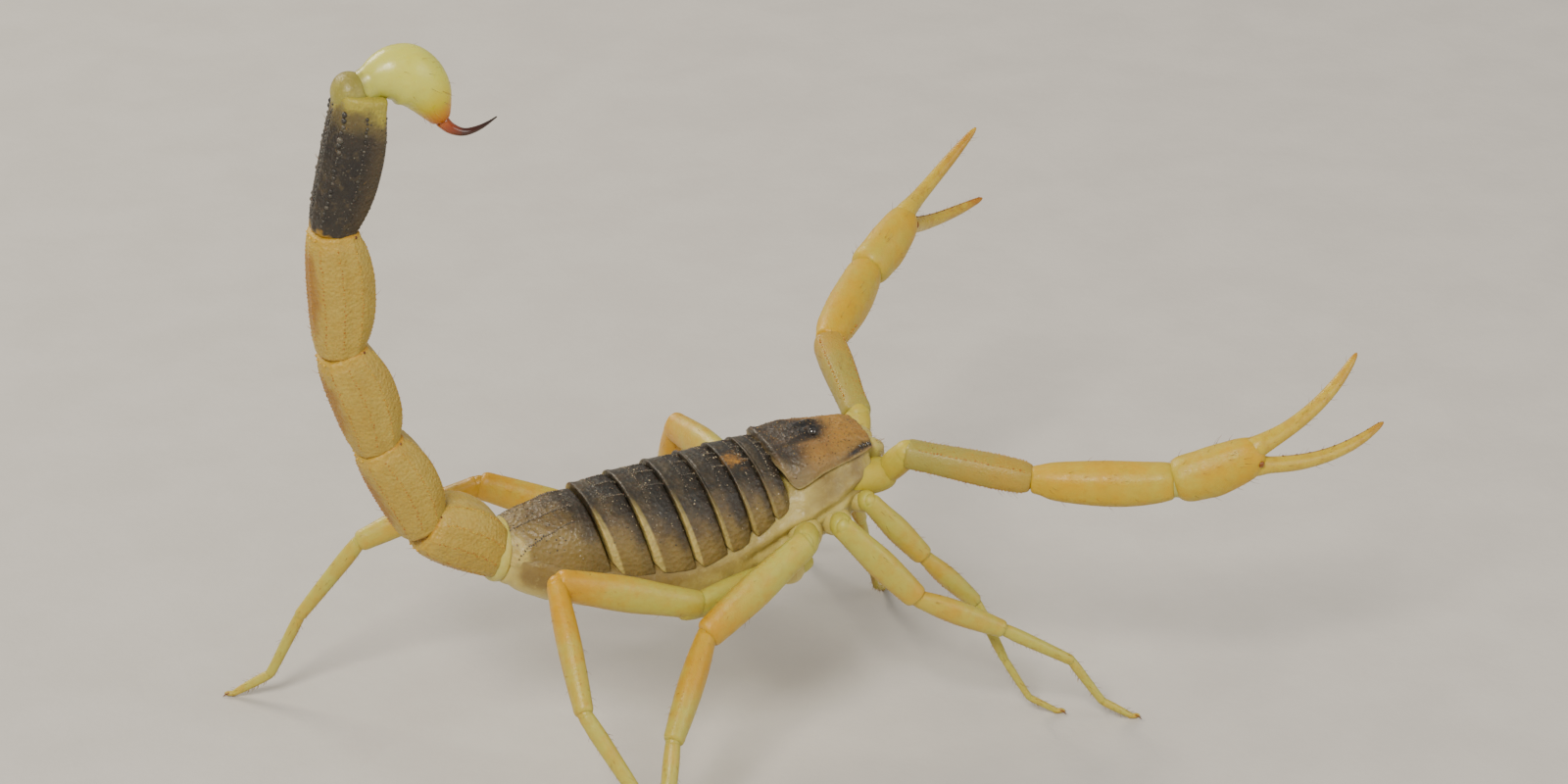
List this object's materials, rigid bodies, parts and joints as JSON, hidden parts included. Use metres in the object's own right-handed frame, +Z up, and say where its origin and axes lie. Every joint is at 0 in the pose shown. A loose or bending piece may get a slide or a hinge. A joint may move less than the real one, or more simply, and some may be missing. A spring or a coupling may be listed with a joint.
{
  "type": "deathstalker scorpion",
  "caption": "Life-size still model of a yellow desert scorpion, standing with its tail raised over its back and both pincers held out.",
  "frame": {"origin": "on the floor, under the middle of the whole animal's box", "axes": "+Z up, +X the way the animal faces, so its right side is towards -Y"},
  "size_m": [0.0912, 0.067, 0.0657],
  "materials": {
    "straw_shell": "waxy straw-yellow shell",
    "amber_shell": "waxy amber-yellow shell",
    "pale_membrane": "translucent yellow-green skin",
    "slate_plates": "granular slate-brown shell with pale rear margins",
    "golden_carapace": "golden-brown granular shell, black round the eyes",
    "ivory_jaws": "smooth ivory shell",
    "charcoal_shell": "charcoal granular shell with a yellow end ring",
    "lemon_bulb": "smooth glossy pale yellow shell",
    "dark_sting": "smooth near-black shell",
    "black_eyes": "glossy black lens"
  },
  "bodies": {
    "root": {"aculeus": "dark_sting", "belly": "pale_membrane", "carapace": "golden_carapace", "chelicera_left": "ivory_jaws", "chelicera_right": "ivory_jaws", "coxae_and_sternum": "pale_membrane", "eye_left": "black_eyes", "eye_right": "black_eyes", "leg_left_1_femur": "straw_shell", "leg_left_1_foot": "amber_shell", "leg_left_1_patella": "straw_shell", "leg_left_2_femur": "straw_shell", "leg_left_2_foot": "amber_shell", "leg_left_2_patella": "straw_shell", "leg_left_3_femur": "straw_shell", "leg_left_3_foot": "amber_shell", "leg_left_3_patella": "straw_shell", "leg_left_4_femur": "straw_shell", "leg_left_4_foot": "amber_shell", "leg_left_4_patella": "straw_shell", "leg_right_1_femur": "straw_shell", "leg_right_1_foot": "amber_shell", "leg_right_1_patella": "straw_shell", "leg_right_2_femur": "straw_shell", "leg_right_2_foot": "amber_shell", "leg_right_2_patella": "straw_shell", "leg_right_3_femur": "straw_shell", "leg_right_3_foot": "amber_shell", "leg_right_3_patella": "straw_shell", "leg_right_4_femur": "straw_shell", "leg_right_4_foot": "amber_shell", "leg_right_4_patella": "straw_shell", "metasoma_1": "straw_shell", "metasoma_2": "amber_shell", "metasoma_3": "amber_shell", "metasoma_4": "amber_shell", "metasoma_5": "charcoal_shell", "pecten_left": "ivory_jaws", "pecten_right": "ivory_jaws", "pedipalp_left_femur": "straw_shell", "pedipalp_left_hand": "straw_shell", "pedipalp_left_movable_finger": "amber_shell", "pedipalp_left_patella": "straw_shell", "pedipalp_right_femur": "straw_shell", "pedipalp_right_hand": "straw_shell", "pedipalp_right_movable_finger": "amber_shell", "pedipalp_right_patella": "straw_shell", "tergite_1": "slate_plates", "tergite_2": "slate_plates", "tergite_3": "slate_plates", "tergite_4": "slate_plates", "tergite_5": "slate_plates", "tergite_6": "slate_plates", "tergite_7": "slate_plates", "vesicle": "lemon_bulb"}
  },
  "joints": []
}
